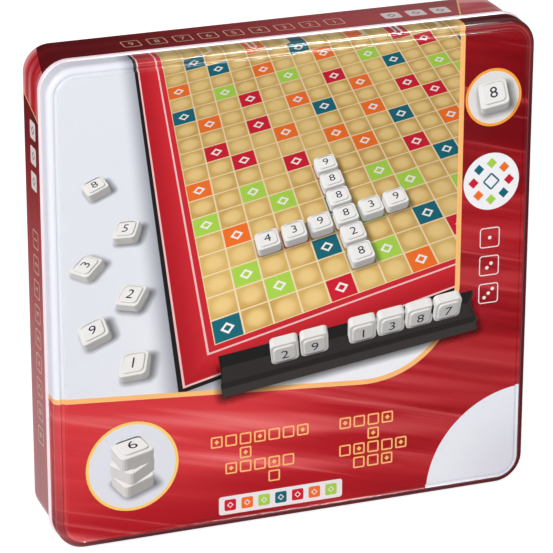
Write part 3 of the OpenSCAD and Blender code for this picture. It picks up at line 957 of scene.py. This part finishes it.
def build_mat():
    """Mat folded down its left side and then along its top, each layer keeping its flat length."""
    half, pair = MAT_W / 2, 2 * MAT_T + MAT_GAP
    stack = 2 * pair + MAT_GAP
    across, up = fold_stations(10), fold_stations(16)
    r1 = (MAT_T + MAT_GAP) / 2
    bend1 = math.pi / 2 * r1
    mat = Shape()
    found = {}
    for i, (flat_u, turn_u) in enumerate(across):
        u = flat_u * (half - bend1) + turn_u * bend1
        angle_u = turn_u * math.pi / 2
        mid_h = pair / 2 + r1 * math.sin(angle_u)
        r2 = stack / 2 - mid_h
        bend2 = math.pi / 2 * r2
        for j, (flat_v, turn_v) in enumerate(up):
            v = flat_v * (half - bend2) + turn_v * bend2
            angle_v = turn_v * math.pi / 2
            for side in (0, 1):
                out = (side - 0.5) * MAT_T
                x = -half / 2 + pair / 2 - (r1 + out) * math.cos(angle_u) + abs(flat_u) * (half - bend1)
                h = pair / 2 + (r1 + out) * math.sin(angle_u)
                r = stack / 2 - h
                y = half / 2 - stack / 2 + r * math.cos(angle_v) - abs(flat_v) * (half - bend2)
                z = TRAY_TOP + stack / 2 + r * math.sin(angle_v)
                found[i, j, side] = len(mat.points)
                mat.flat[len(mat.points)] = (u, v)
                mat.points.append((x, y, z + 0.02))
    last_i, last_j = len(across) - 1, len(up) - 1

    def patch(spots, number):
        mat.face([found[spot] for spot in spots], number)

    for i in range(last_i):
        for j in range(last_j):
            for side in (0, 1):
                patch([(i, j, side), (i + 1, j, side), (i + 1, j + 1, side), (i, j + 1, side)], 1 - side)
    for i in range(last_i):
        for j in (0, last_j):
            patch([(i, j, 0), (i + 1, j, 0), (i + 1, j, 1), (i, j, 1)], 2)
    for j in range(last_j):
        for i in (0, last_i):
            patch([(i, j, 0), (i, j + 1, 0), (i, j + 1, 1), (i, j, 1)], 2)
    edge = moulded("mat_edge", (0.030, 0.010, 0.012), (0.10, 0.016, 0.020), 0.8)
    piece = mat.piece("folded_mat", "game_mat", ["game_mat"], "mat_cloth", [mat_paint(), rubber_paint(), edge])


def build_booklet():
    """Stapled booklet: a cover bent round the spine, pages that stand back from its edges, two staples."""
    spine = BOOK_T / 2

    def leaf(gap, thick, inset, bow):
        """Section of one folded sheet, gap in from the cover's outside."""
        def path(r):
            right = BOOK_W - inset
            lower = [(right - (right - spine) * i / 12, spine - r) for i in range(12)]
            bend = [(spine + x, spine + z) for x, z in arc(0, 0, r, 270, 90, 8)]
            upper = [(spine + (right - spine) * i / 12, spine + r + bow * (i / 12) ** 2) for i in range(1, 13)]
            return lower + bend + upper
        return path(spine - gap) + path(spine - gap - thick)[::-1]

    x0 = -BOOK_W / 2
    book = Shape()
    for section, inset, number in ((leaf(0, 0.12, 0, 0.5), 0, 0), (leaf(0.2, 0.2, 1.0, 0.35), 0.6, 1),
                                   (leaf(0.46, 0.2, 1.3, 0.22), 0.7, 1), (leaf(0.7, 0.2, 1.6, 0.1), 0.8, 1)):
        sheet = [(x + x0, z + BOOK_Z) for x, z in section]
        book.prism(sheet, -BOOK_L / 2 + inset, BOOK_L / 2 - inset, number)
    for y in (-50, 50):
        staple = Shape().loft([ring(0.22, 0.2, z, 3) for z in (-6, 6)])
        staple.points = [(x0 + 0.02 + a, y + c, BOOK_Z + spine + b) for a, b, c in staple.points]
        book.add(staple, number=2)
    paints = [cover_paint(), paper_paint(),
              tinplate("staple_wire", (0.6, 0.6, 0.62), (0.75, 0.75, 0.77), metallic=1.0, roughness=0.25)]
    book.piece("stapled_booklet", "rule_booklet", ["rule_booklet"], "booklet_paper", paints)


# Camera at the photograph's angle, solved from the straight edges of the tin
CAMERA_AT = (-0.52011, -1.41336, 0.72739)
CAMERA_TURN = (68.111, -0.086, -20.085)
CAMERA_LENS = 212.24

# In metres: what the lamps point at, and half the white floor's width
LAMPS_AIM = (0, 0, 0.12)
FLOOR_HALF = 12


def add_camera():
    data = bpy.data.cameras.new("camera")
    data.lens = CAMERA_LENS
    data.sensor_width = 36
    data.clip_end = 50
    camera = stood("camera", data)
    camera.location = CAMERA_AT
    camera.rotation_euler = [math.radians(a) for a in CAMERA_TURN]
    bpy.context.scene.camera = camera


def add_softbox(name, at, size, power, gloss_only=False):
    data = bpy.data.lights.new(name, "AREA")
    data.shape = "SQUARE"
    data.size = size
    data.energy = power
    lamp = stood(name, data)
    lamp.visible_diffuse = not gloss_only
    lamp.location = at
    lamp.rotation_euler = (Vector(LAMPS_AIM) - Vector(at)).to_track_quat("-Z", "Y").to_euler()


def shown_white(nodes, links):
    """1 for the rays that show the white ground itself: the camera's, and those off gloss and through glass."""
    path = nodes.new("ShaderNodeLightPath")
    shown = path.outputs["Is Camera Ray"]
    for kind in ("Is Glossy Ray", "Is Transmission Ray"):
        either = nodes.new("ShaderNodeMath")
        either.operation = "MAXIMUM"
        links.new(shown, either.inputs[0])
        links.new(path.outputs[kind], either.inputs[1])
        shown = either.outputs[0]
    return shown


def add_stage():
    """White floor, white backdrop and soft light."""
    mesh = bpy.data.meshes.new("floor")
    w = FLOOR_HALF
    mesh.from_pydata([(-w, -w, 0), (w, -w, 0), (w, w, 0), (-w, w, 0)], [], [(0, 1, 2, 3)])
    floor = stood("floor", mesh)
    paint = Paint("floor", Roughness=0.9, Specular_IOR_Level=0.2, Emission_Strength=0.65)
    shade = paint.noise(scale=3).ramp(0.2, 0.8, 0.985, 1)
    shown = Value(paint, shown_white(paint.tree.nodes, paint.tree.links))
    paint.feed(Base_Color=paint.tint(paint.point(0.95, 0.95, 0.955), shade),
               Emission_Color=paint.tint((1, 1, 1), shown))
    mesh.materials.append(paint.material)

    world = bpy.data.worlds.new("world")
    world.use_nodes = True
    bpy.context.scene.world = world
    nodes, links = world.node_tree.nodes, world.node_tree.links
    ground = nodes["Background"]
    ground.inputs["Color"].default_value = (0.96, 0.97, 1, 1)
    ground.inputs["Strength"].default_value = 0.3
    white = nodes.new("ShaderNodeBackground")
    white.inputs["Color"].default_value = (1, 1, 1, 1)
    mix = nodes.new("ShaderNodeMixShader")
    links.new(shown_white(nodes, links), mix.inputs[0])
    links.new(ground.outputs[0], mix.inputs[1])
    links.new(white.outputs[0], mix.inputs[2])
    links.new(mix.outputs[0], nodes["World Output"].inputs[0])

    add_softbox("key", at=(-2.1, -2.6, 1.6), size=1.6, power=74)
    add_softbox("fill", at=(1.3, -2.6, 1.65), size=1.0, power=22)
    add_softbox("edge_low", at=(1.02, -2.45, 1.95), size=0.3, power=36, gloss_only=True)
    add_softbox("edge_high", at=(0.95, -0.95, 2.4), size=0.3, power=36, gloss_only=True)


add_camera()
bpy.context.scene.view_settings.view_transform = "Standard"
add_stage()
build_lid()
build_base()
build_back_panel()
tray = build_tray()
build_tiles()
build_racks()
build_mat()
build_booklet()
